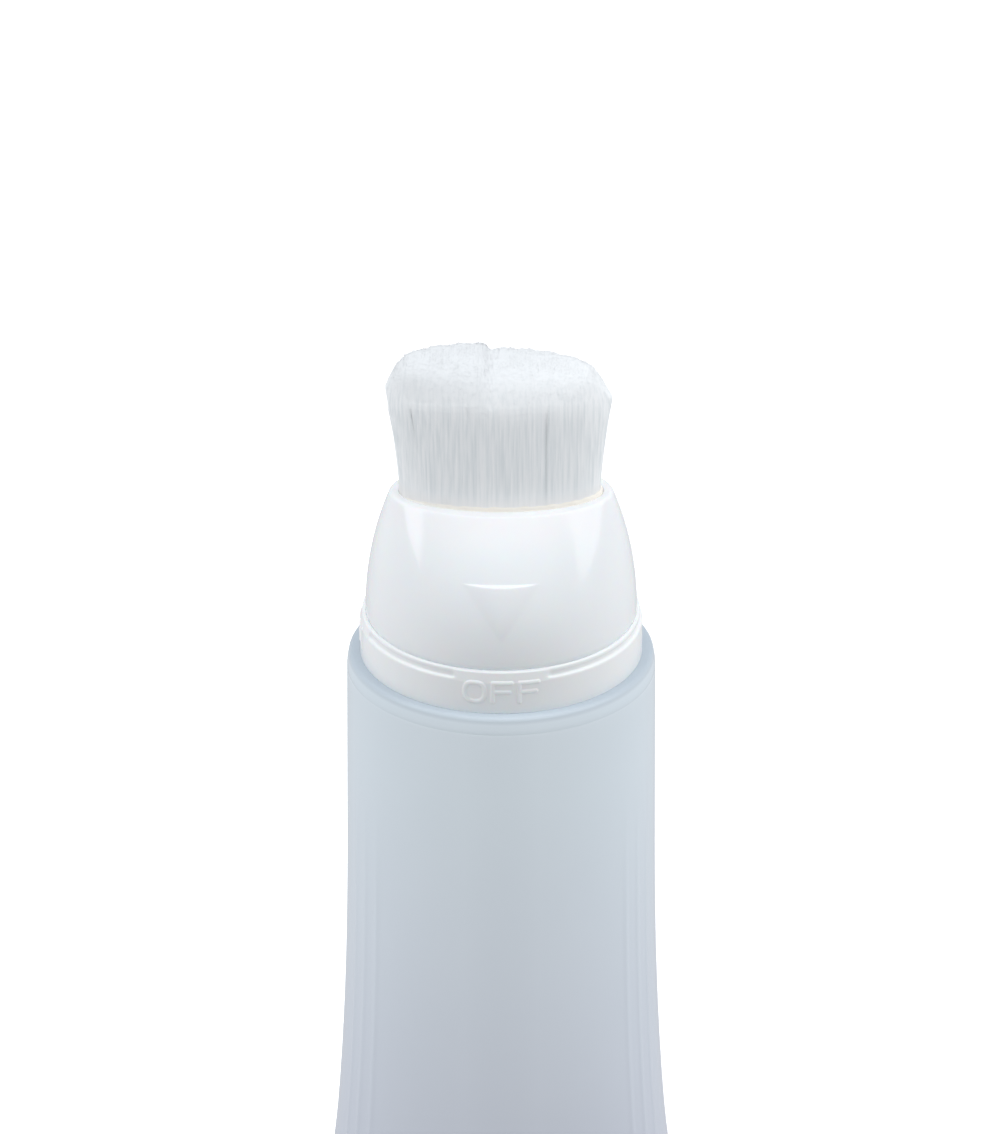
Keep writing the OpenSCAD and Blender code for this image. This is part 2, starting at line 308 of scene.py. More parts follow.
def plastic(name, light, dark, rough, grain, depth, **sockets):
    """Moulded plastic: two close tones in soft clouds, uneven gloss and a fine surface grain."""
    made, tree = new_material(name)
    shader = tree.nodes["Principled BSDF"]
    for key, value in sockets.items():
        shader.inputs[key.replace("_", " ")].default_value = value
    clouds = noise(tree, 60)
    tree.links.new(ramp(tree, clouds, [(0.35, dark), (0.65, light)]), shader.inputs["Base Color"])
    gloss = spread(tree, noise(tree, 220), rough * 0.85, rough * 1.15)
    tree.links.new(gloss, shader.inputs["Roughness"])
    tree.links.new(bump(tree, noise(tree, grain, 2), depth), shader.inputs["Normal"])
    return made


def see_through(tree, shader, colour, share):
    """Mixes a share of light that comes through the wall into a shader, and sends it to the output."""
    glow = add(tree, "BsdfTranslucent")
    tree.links.new(colour, glow.inputs["Color"])
    blend = add(tree, "MixShader")
    blend.inputs["Fac"].default_value = share
    tree.links.new(shader.outputs["BSDF"], blend.inputs[1])
    tree.links.new(glow.outputs["BSDF"], blend.inputs[2])
    tree.links.new(blend.outputs["Shader"], tree.nodes["Material Output"].inputs["Surface"])


def tinted(tree, colour, tint, share=None):
    """Multiplies a colour by a tint, fully or by a share that another node works out."""
    mix = add(tree, "Mix", data_type="RGBA", blend_type="MULTIPLY")
    mix.inputs["Factor"].default_value = 1
    if share:
        tree.links.new(share, mix.inputs["Factor"])
    tree.links.new(colour, mix.inputs["A"])
    tree.links.new(tint, mix.inputs["B"])
    return mix.outputs["Result"]


def frosted(name, top, bottom, z_top, z_bottom, rough):
    """Frosted polyethylene: light passes and scatters, and the skin has a fine matt grain. Its colour
    carries painted shade along the height and towards the sides.
    """
    made, tree = new_material(name)
    shader = tree.nodes["Principled BSDF"]
    shader.inputs["Specular IOR Level"].default_value = 0.25
    # Painted shade over the height: the tube's colour darkens towards the tail, and the shoulder's flat
    # top is darker under the collar
    colour = ramp(tree, between(tree, z_bottom, z_top), [(0, bottom), (1, top)])
    clouds = ramp(tree, noise(tree, 35, 4), [(0.3, (0.98, 0.983, 0.986)), (0.7, (1, 1, 1))])
    colour = tinted(tree, colour, clouds)
    # Painted shade: a little darker towards the sides, and most of all at the ends of the wide tail,
    # where the light leaves the tube's edges darker
    sides = ramp(tree, between(tree, 6, 34, "X"), [(0, (1, 1, 1)), (1, (0.75, 0.765, 0.785))])
    colour = tinted(tree, colour, sides)
    tree.links.new(colour, shader.inputs["Base Color"])
    gloss = spread(tree, noise(tree, 90, 2), rough * 0.94, rough * 1.06)
    tree.links.new(gloss, shader.inputs["Roughness"])
    tree.links.new(bump(tree, noise(tree, 2600, 2), 0.000006), shader.inputs["Normal"])
    see_through(tree, shader, colour, 0.03)
    return made


def nylon(name, root, shaft, tip, shade):
    """Bristle nylon: slightly translucent and matt, with painted shadows in soft lines along the
    strands and a grey tone of painted shade on the tips.
    """
    made, tree = new_material(name)
    shader = tree.nodes["Principled BSDF"]
    shader.inputs["Specular IOR Level"].default_value = 0.3
    strand = noise(tree, 2300, 4, (1, 0.6, 0.02))  # drawn out along the strands
    lift = between(tree, glue_z, brush_top)
    # Warmer near the roots, white along the shafts and grey at the tips: the grey is painted shade that
    # holds back the strong light on the top
    colour = ramp(tree, lift, [(0.0, root), (0.12, shaft), (0.76, shaft), (0.98, tip)])
    # Painted shade: darker lines between the strands on the bristles' sides
    painted_strand_shadows = ramp(tree, strand, [(0.34, shade), (0.66, (1, 1, 1))])
    # The painted strand shadows fade out unevenly below the tips, and in above the roots
    below_tips = calc(tree, "MULTIPLY_ADD", lift, -2.6, 3.0)
    below_tips = calc(tree, "MULTIPLY_ADD", strand, -0.9, below_tips, clamp=True)
    above_roots = calc(tree, "MULTIPLY_ADD", lift, 6, 0.1, clamp=True)
    share = calc(tree, "MULTIPLY", below_tips, above_roots)
    colour = tinted(tree, colour, painted_strand_shadows, share)
    tree.links.new(colour, shader.inputs["Base Color"])
    tree.links.new(spread(tree, noise(tree, 900), 0.4, 0.55), shader.inputs["Roughness"])
    see_through(tree, shader, colour, 0.08)
    return made


def make_materials():
    made = {}
    # Painted shade: the tube's colour darkens from the shoulder down towards the tail
    made["frosted_tube"] = frosted(
        "frosted_tube", (0.875, 0.955, 1.0), (0.715, 0.733, 0.825), -15, -115, 0.24)
    # Painted shadow: the shoulder's flat top under the collar is darker than its rounded edge
    made["frosted_shoulder"] = frosted(
        "frosted_shoulder", (0.585, 0.66, 0.72), (0.85, 0.935, 0.985), 0, -1.2, 0.2)
    made["white_collar"] = plastic(
        "white_collar", (0.915, 0.925, 0.925), (0.9, 0.91, 0.915), 0.22, 900, 0.00002,
        Subsurface_Weight=0.15, Subsurface_Scale=0.002)
    made["white_head"] = plastic(
        "white_head", (0.9, 0.905, 0.915), (0.885, 0.89, 0.905), 0.12, 700, 0.000012,
        Subsurface_Weight=0.2, Subsurface_Scale=0.003, Coat_Weight=0.35, Coat_Roughness=0.06)
    made["inner_plastic"] = plastic(
        "inner_plastic", (0.8, 0.82, 0.84), (0.74, 0.77, 0.8), 0.4, 1200, 0.00003)
    made["gasket"] = plastic("gasket", (0.55, 0.6, 0.66), (0.48, 0.53, 0.6), 0.6, 1500, 0.00004)
    made["o_ring"] = plastic("o_ring", (0.035, 0.035, 0.04), (0.02, 0.02, 0.022), 0.45, 2000, 0.00003)
    made["glue"] = plastic("glue", (0.985, 0.965, 0.905), (0.985, 0.935, 0.84), 0.3, 500, 0.00008)
    # The tip tone is painted shade for the brightly lit top, and the last tone darkens the painted
    # strand shadows
    made["bristle"] = nylon(
        "bristle", (0.99, 0.98, 0.96), (0.965, 0.985, 0.99), (0.775, 0.8, 0.815), (0.855, 0.878, 0.887))
    return made


# ---------------------------------------------------------------- the tube
def flat_depth(t):
    """Share of the round sleeve's depth that is left at fraction t of the way to the seal."""
    return (1 - t ** 2.4) ** (0.42 + 0.58 * float(ease(0.45, 1, t)))


def flat_width(t):
    """Share of the round sleeve's width there: the way round it stays nearly the same."""
    return 1 + (math.pi / 2 - 1) * (1 - flat_depth(t) ** 1.7)


LINES_AT = (20, 28, 36)  # soft upright lines in the sleeve, in degrees from its two sides
LINE_OUT = 0.1  # how far they stand out
LINE_HALF = 1.3  # their half width in degrees


def sleeve_ring(half_w, half_d, power, flat, z, around):
    """One loop of the sleeve: an ellipse that squares up into a flat plate as power grows."""
    angle = np.arange(around) * TAU / around
    saw = 1 - np.abs((angle + math.pi) % TAU - math.pi) * 2 / math.pi
    across = np.cos(angle) * (1 - flat) + saw * flat
    deep = np.maximum(0, 1 - np.abs(across) ** power) ** (1 / power)
    side = np.where(np.arange(around) * 2 <= around, 1, -1)
    from_side = np.degrees(np.arccos(np.abs(np.cos(angle))))
    lines = sum(np.exp(-((from_side - at) / LINE_HALF) ** 2) for at in LINES_AT)
    swell = 1 + LINE_OUT * lines * float(ease(14, 45, -z)) * (1 - flat) / tube_r
    return np.stack([half_w * across * swell, half_d * deep * side * swell, np.full(around, z)], 1)


def make_sleeve(material):
    """The sleeve: round under the shoulder, flattening into the welded and crimped tail."""
    around = 440
    rib_pitch = 1.96
    rib_depth = 0.13
    rib_edge = 0.4  # plain height above the ribs
    flare_z = weld_z - round_len
    seal_top = tail_z + seal_h
    flat_len = flare_z - seal_top

    def section(t, skin, z):
        """The loop at fraction t of the flattening, skin inside the outer surface."""
        flat = float(ease(0.9, 1, t))
        power = 2 + 10 * flat ** 5
        half_w = tube_r * flat_width(t) - skin
        half_d = (wall - skin) + (tube_r - wall) * flat_depth(t)
        return sleeve_ring(half_w, half_d, power, flat, z, around)

    def crimp(z):
        """The seal plate at height z, pressed into upright ribs."""
        ring = section(1.0, 0, z)
        inside = ease(tail_z + 0.3, tail_z + 0.8, z) * (1 - ease(seal_top - 1.2, seal_top - 0.6, z))
        ribs = rib_depth * inside * (0.5 - 0.5 * np.cos(ring[:, 0] * TAU / rib_pitch))
        ring[:, 1] -= np.sign(ring[:, 1]) * np.minimum(ribs, np.abs(ring[:, 1]))
        return ring

    rings = [crimp(z) for z in np.linspace(tail_z, seal_top - rib_edge, 14)]
    rings += [section(t, 0, flare_z - t * flat_len) for t in np.linspace(1, 0, 60) ** 0.8]
    rings += [section(0, 0, z) for z in np.linspace(flare_z, weld_z - weld_half, 22)[1:]]
    rings += [section(0, 0.015, weld_z - weld_near), section(0, weld_depth, weld_z)]
    rings += [section(0, wall, z) for z in np.linspace(weld_z, flare_z, 8)]
    rings += [section(t, wall, flare_z - t * flat_len) for t in np.linspace(0, 0.97, 26)[1:]]
    made = loft("squeeze_sleeve", rings)
    finish_piece(made, "tube_body", "frosted_tube", material, "tube_sleeve")


def make_shoulder(material):
    """The shoulder: its rounded edge, the weld line below it, the skirt inside and the neck."""
    neck_low, neck_high = cad("shoulder_neck")
    skirt_z = neck_low.z
    neck_top = neck_high.z
    edge = 0.8
    edge_in = 0.25  # the rounded edge stands this far inside the sleeve's radius
    plane_r = 22.4  # a loop under the collar that keeps the shading of the plane flat
    skirt_r = tube_r - wall
    skirt_in = skirt_r - 1.2
    neck_r = 17.6
    neck_hole = 9.0
    plate = 1.6
    profile = [(skirt_r, weld_z), (tube_r - weld_depth, weld_z), (tube_r - 0.012, weld_z + weld_near)]
    profile += [(tube_r, weld_z + weld_half), (tube_r - 0.04, weld_z + 0.9)]
    profile += arc(tube_r - edge_in - edge, -edge, edge, 8, 90, 12)
    profile += [(plane_r, 0.0), (neck_r, 0.0), (neck_r, neck_top), (neck_hole, neck_top)]
    profile += [(neck_hole, neck_top - plate), (neck_r - plate, neck_top - plate)]
    profile += [(neck_r - plate, -plate), (skirt_in - 1, -plate), (skirt_in, -plate - 1)]
    profile += [(skirt_in, skirt_z), (skirt_r, skirt_z)]
    made = revolve("tube_shoulder", profile)
    finish_piece(made, "tube_body", "frosted_shoulder", material, "shoulder_neck")


# ---------------------------------------------------------------- the collar and its marks
STROKE = 0.36  # half width of a stroke of the marks
MARK_LOW, MARK_HIGH = 2.1, 5.5  # heights of the lowest and the highest stroke's middle
MARK_OUT = 0.17  # how far the marks stand out
LETTER_W = 3.1  # width of a letter between the middles of its strokes


def stroke(u, v, start, end):
    """Distance from the points (u, v) to a straight stroke."""
    along = np.subtract(end, start)
    t = ((u - start[0]) * along[0] + (v - start[1]) * along[1]) / along.dot(along)
    t = np.clip(t, 0, 1)
    return np.hypot(u - start[0] - t * along[0], v - start[1] - t * along[1])


def letter_o(u, v, middle):
    """Distance to the stroke of an O. All marks are in mm round the collar and up it."""
    half_w = 1.65
    half_h = (MARK_HIGH - MARK_LOW) / 2
    square = 2.6  # the power that makes the O squarer than an ellipse
    across = (np.abs(u - middle) / half_w) ** square
    along = (np.abs(v - MARK_LOW - half_h) / half_h) ** square
    return np.abs((across + along) ** (1 / square) - 1) * half_w


def letter_f(u, v, left):
    """Distance to the strokes of an F."""
    middle = MARK_LOW + 0.52 * (MARK_HIGH - MARK_LOW)
    return np.minimum.reduce([
        stroke(u, v, (left, MARK_LOW), (left, MARK_HIGH)),
        stroke(u, v, (left, MARK_HIGH), (left + LETTER_W, MARK_HIGH)),
        stroke(u, v, (left, middle), (left + LETTER_W - 0.4, middle)),
    ])


def letter_n(u, v, left):
    """Distance to the strokes of an N."""
    return np.minimum.reduce([
        stroke(u, v, (left, MARK_LOW), (left, MARK_HIGH)),
        stroke(u, v, (left, MARK_HIGH), (left + LETTER_W, MARK_LOW)),
        stroke(u, v, (left + LETTER_W, MARK_LOW), (left + LETTER_W, MARK_HIGH)),
    ])


def mark_off(u, v):
    return np.minimum.reduce([letter_o(u, v, -4.35), letter_f(u, v, -1.4), letter_f(u, v, 2.95)])


def mark_on(u, v):
    return np.minimum(letter_o(u, v, -2.3), letter_n(u, v, 0.75))


def make_collar(material):
    """The collar: a smooth band, the snap groove that stops at each mark, the bead and the marks."""
    marks = {-90: mark_off, -180: mark_on}  # by their angle in degrees
    mark_reach = 16.5  # degrees of fine columns on each side of a mark
    angles = columns(marks, mark_reach, 0.22, 1.0)
    edge = 0.1
    bead_edge = 0.2
    slope = 0.25  # height over which one face leads into the next
    foot = 0.06
    foot_z = 0.04
    groove_r = collar_r - groove_depth
    groove_top = collar_h - bead_h
    bead_r = collar_r - bead_in
    band_top = band_h - slope

    # The inside, from the CAD: the journal with its catch, the flange, the boss and the hollow
    journal_r, catch_z, catch_out = 19.2, 10.4, 0.3
    flange_low, flange_top = 10.2, 11.6
    boss_r, boss_bore, boss_top = 14.4, 12.2, 15.0
    ring_in, ring_low, ring_high = 13.3, 12.5, 13.9
    neck_in, hollow_r, hollow_top = 17.7, 21.6, 6.0
    inner = [
        (journal_r, collar_h), (journal_r, catch_z), (journal_r + catch_out, catch_z),
        (journal_r + catch_out, catch_z + 0.4), (journal_r, catch_z + 0.8), (journal_r, flange_top),
        (boss_r, flange_top), (boss_r, ring_low), (ring_in, ring_low), (ring_in, ring_high),
        (boss_r, ring_high), (boss_r, boss_top), (boss_bore, boss_top), (boss_bore, flange_low),
        (neck_in, flange_low), (neck_in, 0.0), (journal_r, 0.0), (journal_r, hollow_top),
        (hollow_r, hollow_top), (hollow_r, 0.0),
    ]

    # The outside: the groove's profile, and the plain one that takes its place above a mark
    grooved = soften([
        (collar_r, band_top + edge), (collar_r - edge, band_h + edge), (groove_r, band_h + 3 * edge),
        (groove_r, groove_top - slope), (bead_r, groove_top), (bead_r, collar_h - bead_edge),
        (bead_r - bead_edge, collar_h),
    ])
    t = np.linspace(0, 1, len(grooved))
    filled = np.stack([collar_r + (bead_r - collar_r) * t, band_top + (collar_h - band_top) * t], 1)
    filled[:, 0] -= bead_edge * ease(0.85, 1, t)
    base = arc(collar_r - foot, foot_z, foot, -90, 0, 4)
    band = [(collar_r, z) for z in np.linspace(0.1, band_top, 62)[1:-1]]

    def away(mark):
        """Angle in degrees from a mark, between -180 and 180."""
        return (np.degrees(angles) - mark + 180) % 360 - 180

    fill = np.maximum.reduce([1 - ease(gap_half - 1.0, gap_half + 0.6, np.abs(away(m))) for m in marks])

    def ring(r, z):
        """A loop whose radius and height may differ from column to column."""
        r = np.broadcast_to(r, angles.shape)
        z = np.broadcast_to(z, angles.shape)
        lift = np.zeros(len(angles))
        if np.max(z) < collar_h - edge and np.min(r) > groove_r - edge:  # the outside only
            for mark, shape in marks.items():
                u = np.radians(away(mark)) * collar_r
                near = np.clip(1 - (shape(u, z) / STROKE) ** 2, 0, 1)
                lift = np.maximum(lift, MARK_OUT * np.sqrt(near))
        r = r + lift
        return np.stack([r * np.cos(angles), r * np.sin(angles), z], 1)

    rings = [ring(r, z) for r, z in base + band]
    for (gr, gz), (fr, fz) in zip(grooved, filled):
        rings.append(ring(gr + (fr - gr) * fill, gz + (fz - gz) * fill))
    rings += [ring(r, z) for r, z in inner]
    made = loft("marked_collar", rings, loop=True, sharp=50)
    finish_piece(made, "tube_body", "white_collar", material, "collar_ring")


# ---------------------------------------------------------------- the dome
def dome_x(s):
    """Half width of the dome at fraction s of its height."""
    return dome_r - (dome_r - rim_x) * s ** 2


def dome_y(s):
    """Half depth of the dome there."""
    return dome_r - (dome_r - rim_y) * s ** 2


def make_dome(material):
    """The dome: round at the seam, oval at the rim, with the raised pointer moulded into its front."""
    angles = columns([-90], 20, 0.8, 1.8)
    height = rim_z - lip_z
    seam_z = collar_h + 0.01  # the seam is closed down to the collar
    seam_in = 0.03
    tip_z = pointer_top - pointer_h
    face_top = pointer_top - 0.5  # above it the pointer's face rounds over to its top edge
    crest = 0.88  # share of the pointer's height that is left at that edge
    shelf = 0.18  # height over which the ledge above it falls back to the dome
    fillet = 0.04  # share of the pointer's height that fades out above the ledge

    def oval(a, b, z, ledge=0.0):
        """An oval loop. The ledge is the share of the pointer's height that it carries in front."""
        x = a * np.cos(angles)
        y = b * np.sin(angles)
        if ledge and z > tip_z:
            rise = (z - tip_z) / pointer_h
            share = np.clip(1 - (x / (pointer_w / 2 * rise)) ** 2, 0, 1) ** 1.25
            y = y - np.where(y < 0, ledge * pointer_out * rise ** 0.6 * share, 0)
        return np.stack([x, y, z + 0 * angles], 1)

    def outer(z, ledge=0.0):
        """The dome's outside at height z."""
        s = (z - lip_z) / height
        return oval(dome_x(s), dome_y(s), z, ledge)

    def tilt(s):
        """The outside's horizontal direction, and how far its normal leans up, at every angle."""
        nx = np.cos(angles) / dome_x(s)
        ny = np.sin(angles) / dome_y(s)
        lean_x = 2 * (dome_r - rim_x) * s / height / dome_x(s)
        lean_y = 2 * (dome_r - rim_y) * s / height / dome_y(s)
        nz = np.cos(angles) ** 2 * lean_x + np.sin(angles) ** 2 * lean_y
        flat = np.hypot(nx, ny)
        return nx / flat, ny / flat, np.arctan2(nz, flat)

    rings = [oval(dome_r - seam_in, dome_r - seam_in, seam_z), outer(seam_z + seam_in)]
    rings += [outer(z, 1) for z in np.linspace(lip_z + 0.5, face_top, 40)]
    for k in np.linspace(0, 1, 7)[1:]:
        rings.append(outer(face_top + (pointer_top - face_top) * k, 1 - (1 - crest) * k ** 4))
    rings += [outer(pointer_top + shelf * k, crest * (1 - k)) for k in (0.2, 0.4, 0.6, 0.8, 0.93)]
    rings += [outer(pointer_top + 0.2 + 0.15 * k, fillet * (1 - k) ** 2) for k in (0.0, 0.4, 1.0)]
    way_x, way_y, lean = tilt(0.98)  # just below the lip
    lip_start = rim_z - lip_round * (1 - np.sin(lean))
    plain_z = pointer_top + 0.6
    rings += [outer(plain_z + (lip_start - plain_z) * k) for k in np.linspace(0, 1, 24)]
    top = rings[-1]
    for k in np.linspace(0, 1, 8)[1:]:
        turn = lean + (math.pi / 2 - lean) * k
        inset = lip_round * (np.cos(lean) - np.cos(turn))
        raised = top[:, 2] + lip_round * (np.sin(turn) - np.sin(lean))
        rings.append(np.stack([top[:, 0] - inset * way_x, top[:, 1] - inset * way_y, raised], 1))
    edge = 0.3
    for a in np.radians(np.linspace(90, 180, 6)):
        out = edge * (1 + math.cos(a))
        rings.append(oval(mouth_x + out, mouth_y + out, rim_z - edge * (1 - math.sin(a))))
    socket_z = rim_z - 5
    carrier_z = 13.3
    bore = 20.25
    rings.append(oval(mouth_x, mouth_y, socket_z))
    for z in np.linspace(socket_z, carrier_z, 8):
        s = (z - lip_z) / height
        rings.append(oval(dome_x(s) - shell, dome_y(s) - shell, z))
    rings += [oval(bore, bore, carrier_z), oval(bore, bore, seam_z)]
    made = loft("head_dome", rings, loop=True, sharp=60)
    finish_piece(made, "brush_head", "white_head", material, "head_shell")


# ---------------------------------------------------------------- the brush
CROWN_LEFT, CROWN_RIGHT = 53.75, 52.85  # heights of the two lobes
CLEFT_X = -1.9  # where the cleft between them ends, at the top
ROOT_X, ROOT_Y = 16.2, 7.3  # half size of the footprint
ROOT_SHIFT = -0.22  # the bundle stands a little left of the mouth's middle
ROOT_Z = glue_z - 0.6  # the bristles start inside the glue
FAN_LEFT, FAN_RIGHT, FAN_Y = 2.35, 2.0, 1.15  # how far the outermost bristles lean out at the top
TOP_Y = 8.6  # half depth of the cut top
CORE_DROP = 0.2  # the dense inside ends this far below the tips
STRAND_RELIEF = 0.16  # how much of each strand's own roundness shows in its shading
TOP_LIT = (0.4, 5.6)  # depths under the crown between which the shading turns to the side's
clumps = rng.uniform(-1, 1, (560, 2))
clumps = clumps[np.hypot(*clumps.T) < 0.97] * (ROOT_X, ROOT_Y)
clump_rise = rng.uniform(-0.04, 0.1, len(clumps))


def crown(x, y):
    """Height of the brush's top above (x, y): two low lobes that round over towards the outline."""
    # Each half falls slowly along its length, and then faster over its end
    left = 2.4 * np.abs(x / 18.4) ** 4.3 + 3.0 * np.clip((-x - 15) / 3.5, 0, 1.1) ** 2
    right = 3.1 * np.abs(x / 18.2) ** 2.2 + 3.2 * np.clip((x - 13.5) / 4, 0, 1.15) ** 1.6
    half_depth = TOP_Y * np.sqrt(np.clip(1 - ((x + 0.4) / 18.6) ** 2, 0.03, 1))
    front = 5.4 * np.clip(np.abs(y) / half_depth, 0, 1.03) ** 4.2
    cleft = 0.2 * np.exp(-((x - CLEFT_X - 0.3) / 0.8) ** 2)
    top = CROWN_LEFT + (CROWN_RIGHT - CROWN_LEFT) * ease(CLEFT_X - 1.7, CLEFT_X + 0.6, x)
    return top - np.where(x < 0, left, right) - front - cleft


def ruffle(x):
    """The small unevenness of the brush's cut top, along its length."""
    return 0.1 * np.sin(1.7 * x + 0.6) + 0.06 * np.sin(4.3 * x) + 0.04 * np.sin(9.7 * x + 1)


def fan_out(x, y, u):
    """Where a filament that is rooted at (x, y) stands at fraction u of its height."""
    lift = u ** 1.4
    fan_x = np.where(x < 0, FAN_LEFT, FAN_RIGHT)
    centred = 1 - np.clip(np.abs(x) / ROOT_X, 0, 1)
    across = x + ROOT_SHIFT + lift * (fan_x * x / ROOT_X + (CLEFT_X - ROOT_SHIFT) * centred)
    return across, y + lift * FAN_Y * y / ROOT_Y


def hull_normals(points, shift):
    """Normals of the brush's overall shape, so that the strands are lit as one soft mass.

    Near the top they follow the crown, softened, and lower down they point outward and a little up,
    most of all at the roots. Each point counts as deeper than it is by its shift, in mm.
    """
    x, y, z = points.T
    share = 1 - ease(*TOP_LIT, crown(x, y) - z + shift)
    near = 0.3  # distance over which the crown's slope is taken
    slope_x = (crown(x + near, y) - crown(x - near, y)) / (2 * near)
    slope_y = (crown(x, y + near) - crown(x, y - near)) / (2 * near)
    top = np.stack([-0.8 * slope_x, -0.65 * slope_y, np.ones(len(x))], 1)
    top /= np.linalg.norm(top, axis=1)[:, None]
    out_x = x / (ROOT_X + 2) ** 2
    out_y = y / (ROOT_Y + 1.1) ** 2
    size = np.hypot(out_x, out_y) + 1e-6
    rise = 0.43 + 0.75 * (1 - ease(glue_z, glue_z + 6, z))
    outward = np.stack([out_x / size, out_y / size, rise], 1)
    return top * share[:, None] + outward * (1 - share[:, None])


def half_oval(side, around):
    """The outline of one half of the footprint: round the outside, and back along the middle."""
    outer = int(around * 0.72)
    angle = np.linspace(-math.pi / 2, math.pi / 2, outer)
    x = side * ROOT_X * np.cos(angle)
    y = ROOT_Y * np.sin(angle)
    y_in = np.linspace(y[-1], y[0], around - outer + 2)[1:-1]
    loop = np.stack([np.concatenate([x, np.zeros(len(y_in))]), np.concatenate([y, y_in])], 1)
    return loop if side > 0 else loop[::-1]


def core_mesh(side):
    """The dense inside of one half of the brush: ridged sides and a domed, slightly uneven top."""
    around = 260
    rows = 18
    caps = 16
    own_side = side * 1e-6  # makes the points on the middle line fan out with their own half
    ragged_by = 30  # how much deeper the unevenness of the shading is than the ridges
    loop = half_oval(side, around)
    place = np.cumsum(np.hypot(*(loop - np.roll(loop, 1, 0)).T))
    ridge = np.zeros(around)
    ragged = np.zeros(around)
    end_x, end_y = fan_out(loop[:, 0] + own_side, loop[:, 1], 1.0)
    top = crown(end_x, end_y) + ruffle(end_x) - CORE_DROP
    for wave, size in ((0.7, 0.012), (1.3, 0.02), (3.7, 0.015)):  # length and depth of the ridges
        phase = rng.uniform(0, TAU)
        ridge += size * np.sin(place * TAU / wave + phase)
        ragged += size * ragged_by * np.sin(place * TAU / wave + phase + 2)
    outside = np.clip(np.abs(loop[:, 0]) / 1.2, 0, 1)  # no ridges in the cleft
    away = loop / np.hypot(*loop.T)[:, None] * (ridge * outside)[:, None]
    rings = []
    for k in range(rows + 1):
        u = k / rows
        flat = loop + away * math.sin(math.pi * u)
        x, y = fan_out(flat[:, 0] + own_side, flat[:, 1], u)
        rings.append(np.stack([x, y, ROOT_Z + (top - ROOT_Z) * u], 1))
    middle = loop.mean(0)
    for k in range(1, caps + 1):
        flat = middle + (loop - middle) * (1 - (k / (caps + 0.5)) ** 1.5)
        x, y = fan_out(flat[:, 0], flat[:, 1], 1.0)
        rings.append(np.stack([x, y, crown(x, y) + ruffle(x) - CORE_DROP], 1))
    points = np.asarray(rings).reshape(-1, 3)
    shift = np.concatenate([np.tile(ragged, rows + 1), np.zeros(caps * around)])
    return points, loft_faces(len(rings), around), hull_normals(points, shift)


def scatter_roots(side, spacing):
    """Root positions on a jittered grid inside one half of the footprint."""
    xs = np.arange(spacing / 4, ROOT_X, spacing)
    ys = np.arange(-ROOT_Y, ROOT_Y, spacing * 0.87)
    x, y = np.meshgrid(xs, ys)
    x = x + (np.arange(len(ys))[:, None] % 2) * spacing / 2
    x = x.ravel() + rng.uniform(-0.5, 0.5, x.size) * spacing
    y = y.ravel() + rng.uniform(-0.5, 0.5, y.size) * spacing
    inside = (x / (ROOT_X - 0.05)) ** 2 + (y / (ROOT_Y - 0.05)) ** 2 < 1
    return side * x[inside], y[inside]


def filament_mesh(x0, y0, steps, start, thick, first):
    """Tapered three-sided filaments from fraction start of their height up to the crown.

    They are rooted at (x0, y0), gather a little towards the nearest clump, and end unevenly.
    """
    gather = 0.15
    stray, stray_most = 0.09, 0.15
    taper = 0.45
    tip = 0.35
    count = len(x0)
    u = start + (1 - start) * np.linspace(0, 1, steps + 1)
    away = (x0[:, None] - clumps[:, 0]) ** 2 + (y0[:, None] - clumps[:, 1]) ** 2
    nearest = np.argmin(away, 1)
    home = clumps[nearest]
    pull = gather * np.sin(math.pi * u ** 0.9)[None, :]
    x = x0[:, None] + pull * (home[:, :1] - x0[:, None])
    y = y0[:, None] + pull * (home[:, 1:] - y0[:, None])
    lean = np.clip(rng.normal(0, stray, (count, 2)), -stray_most, stray_most)
    x = x + lean[:, :1] * u[None, :] ** 2
    y = y + lean[:, 1:] * u[None, :] ** 2
    x, y = fan_out(x, y, u[None, :])
    top = crown(x[:, -1], y[:, -1]) + ruffle(x[:, -1])
    top = top + rng.uniform(-0.3, 0.05, count) + clump_rise[nearest]
    z = ROOT_Z + (top[:, None] - ROOT_Z) * u[None, :]
    radius = thick * (1 - taper * u ** 2)[None, :] * rng.uniform(0.85, 1.15, count)[:, None]
    radius[:, -1] *= tip
    turn = rng.uniform(0, TAU, count)
    corners, rounds = [], []
    for k in range(3):
        a = turn + k * TAU / 3
        side_x = radius * np.cos(a)[:, None]
        side_y = radius * np.sin(a)[:, None]
        outward = np.stack([np.cos(a), np.sin(a), 0 * a], 1)[:, None]
        corners.append(np.stack([x + side_x, y + side_y, z], 2))
        rounds.append(np.broadcast_to(outward, corners[-1].shape))
    points = np.stack(corners, 2).reshape(-1, 3)  # in order of filament, step and corner
    round_part = np.stack(rounds, 2).reshape(-1, 3)
    ragged = np.repeat(rng.normal(0, 1.0, count), 3 * (steps + 1))
    normals = hull_normals(points, ragged) + STRAND_RELIEF * round_part
    base = first + np.arange(count) * (steps + 1) * 3
    quads = []
    for k in range(steps):
        low = base + 3 * k
        high = low + 3
        for i in range(3):
            j = (i + 1) % 3
            quads += np.stack([low + i, low + j, high + j, high + i], 1).tolist()
    ends = np.stack([base + 2, base + 1, base], 1).tolist()
    tips = np.stack([base + 3 * steps, base + 3 * steps + 1, base + 3 * steps + 2], 1).tolist()
    return points, quads + ends + tips, normals


